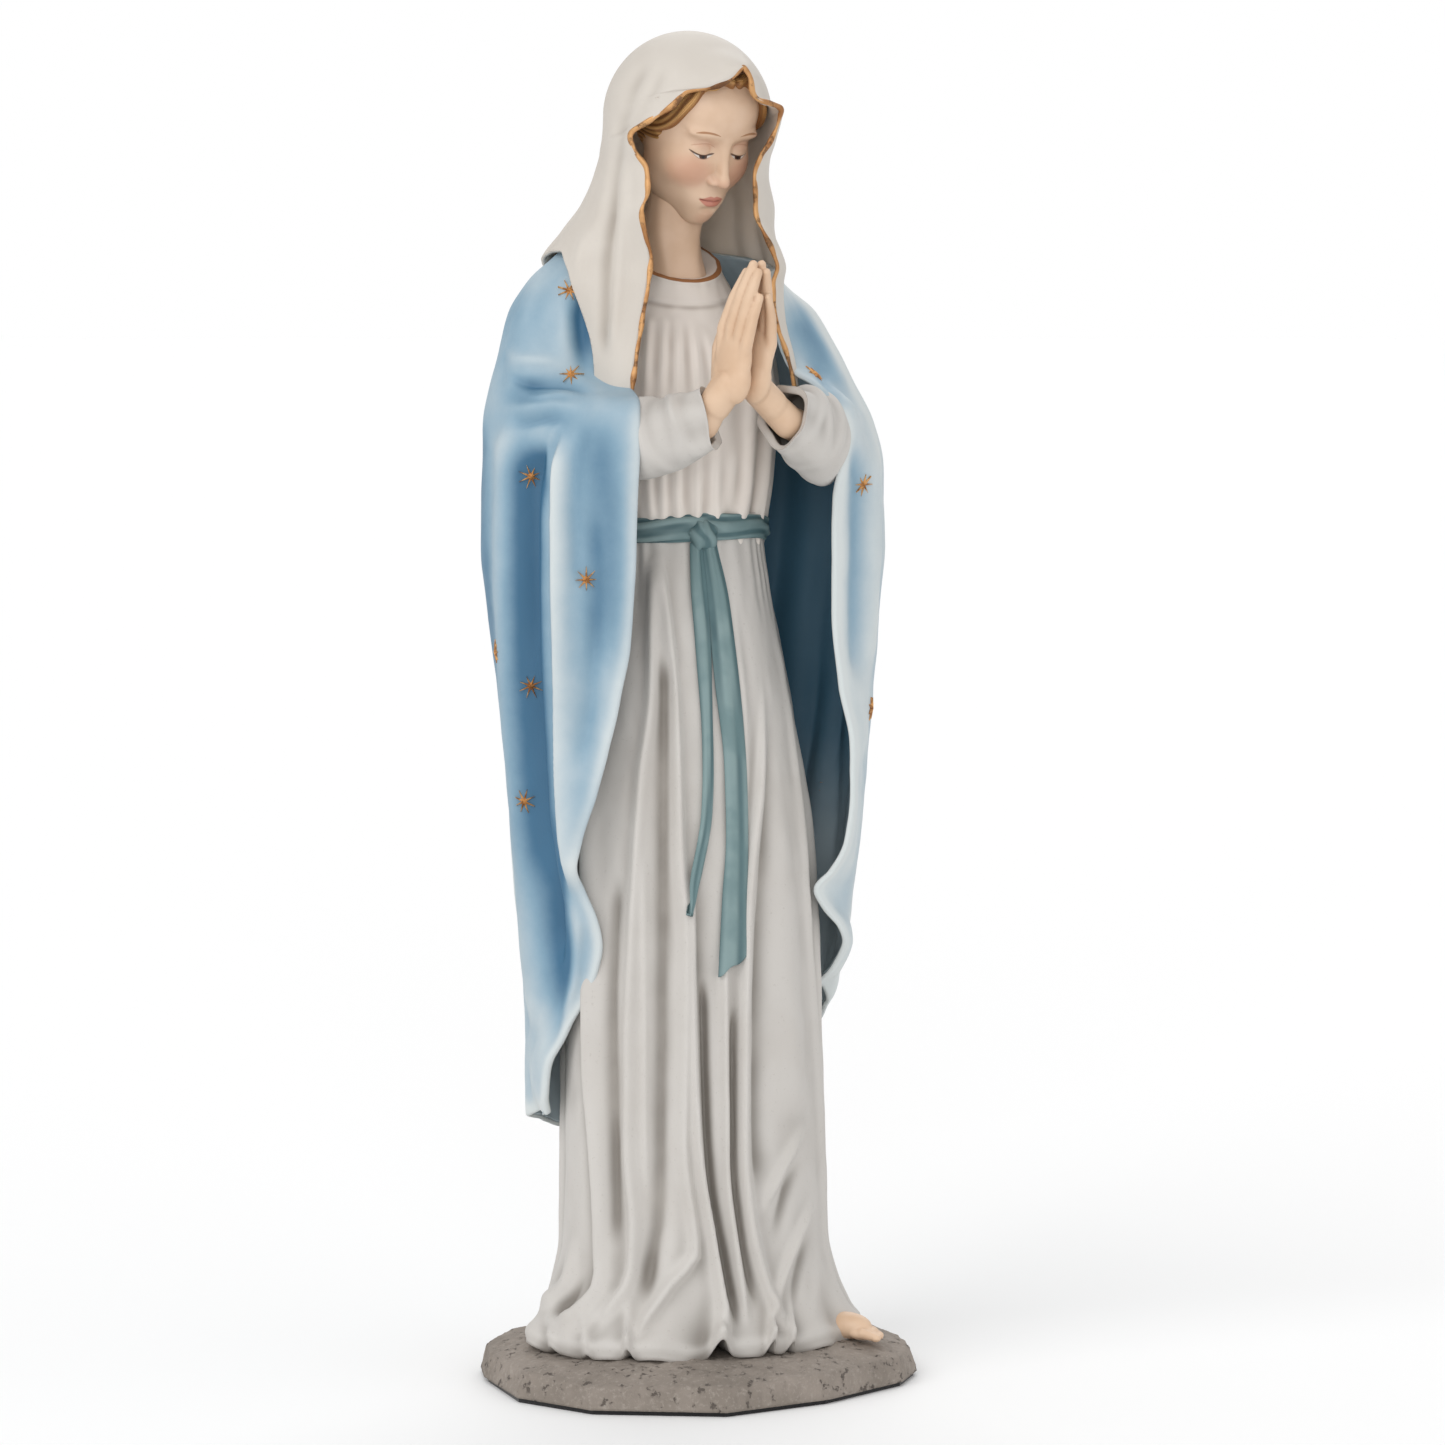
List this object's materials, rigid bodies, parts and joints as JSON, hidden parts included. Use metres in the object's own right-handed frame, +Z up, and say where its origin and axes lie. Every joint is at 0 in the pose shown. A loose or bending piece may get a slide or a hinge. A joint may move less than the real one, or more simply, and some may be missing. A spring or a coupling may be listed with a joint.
{
  "type": "madonna statue",
  "caption": "Standing robed woman with hands joined in prayer, long veil with a gilt border, starred mantle and knotted sash, on a rock plinth.",
  "frame": {"origin": "middle of the underside of the felt pad, on the surface the statue stands on", "axes": "+Z up through the figure; the figure faces -Y; its right hand is towards -X"},
  "size_m": [0.096, 0.087, 0.29],
  "materials": {
    "felt": "thin black felt, glued on",
    "rock": "cast rock texture, grey paint with a darker wash",
    "pin_steel": "plain steel rod",
    "gown_white": "cast resin, matt warm white with a grey-brown wash in the folds",
    "sash_teal": "cast resin, matt grey-teal with a darker wash",
    "skin": "cast resin, satin flesh paint with blushed cheeks",
    "hair_gold": "cast resin, golden brown with a dark wash",
    "mantle_blue": "cast resin, matt, sprayed from blue in the folds to white on the ridges",
    "veil_white": "cast resin, matt warm white",
    "gilding": "gold paint with a dark wash: the veil's border, the neckline and the stars"
  },
  "bodies": {
    "root": {"felt_pad": "felt", "plinth": "rock", "base_pins": "pin_steel", "gown": "gown_white", "sash_band": "sash_teal", "sash_knot": "sash_teal", "sash_short_tail": "sash_teal", "sash_long_tail": "sash_teal", "right_sleeve": "gown_white", "left_sleeve": "gown_white", "right_hand": "skin", "left_hand": "skin", "wrist_pins": "pin_steel", "neck_pin": "pin_steel", "head": "skin", "hair": "hair_gold", "mantle": "mantle_blue", "veil": "veil_white", "left_foot": "skin"}
  },
  "joints": []
}
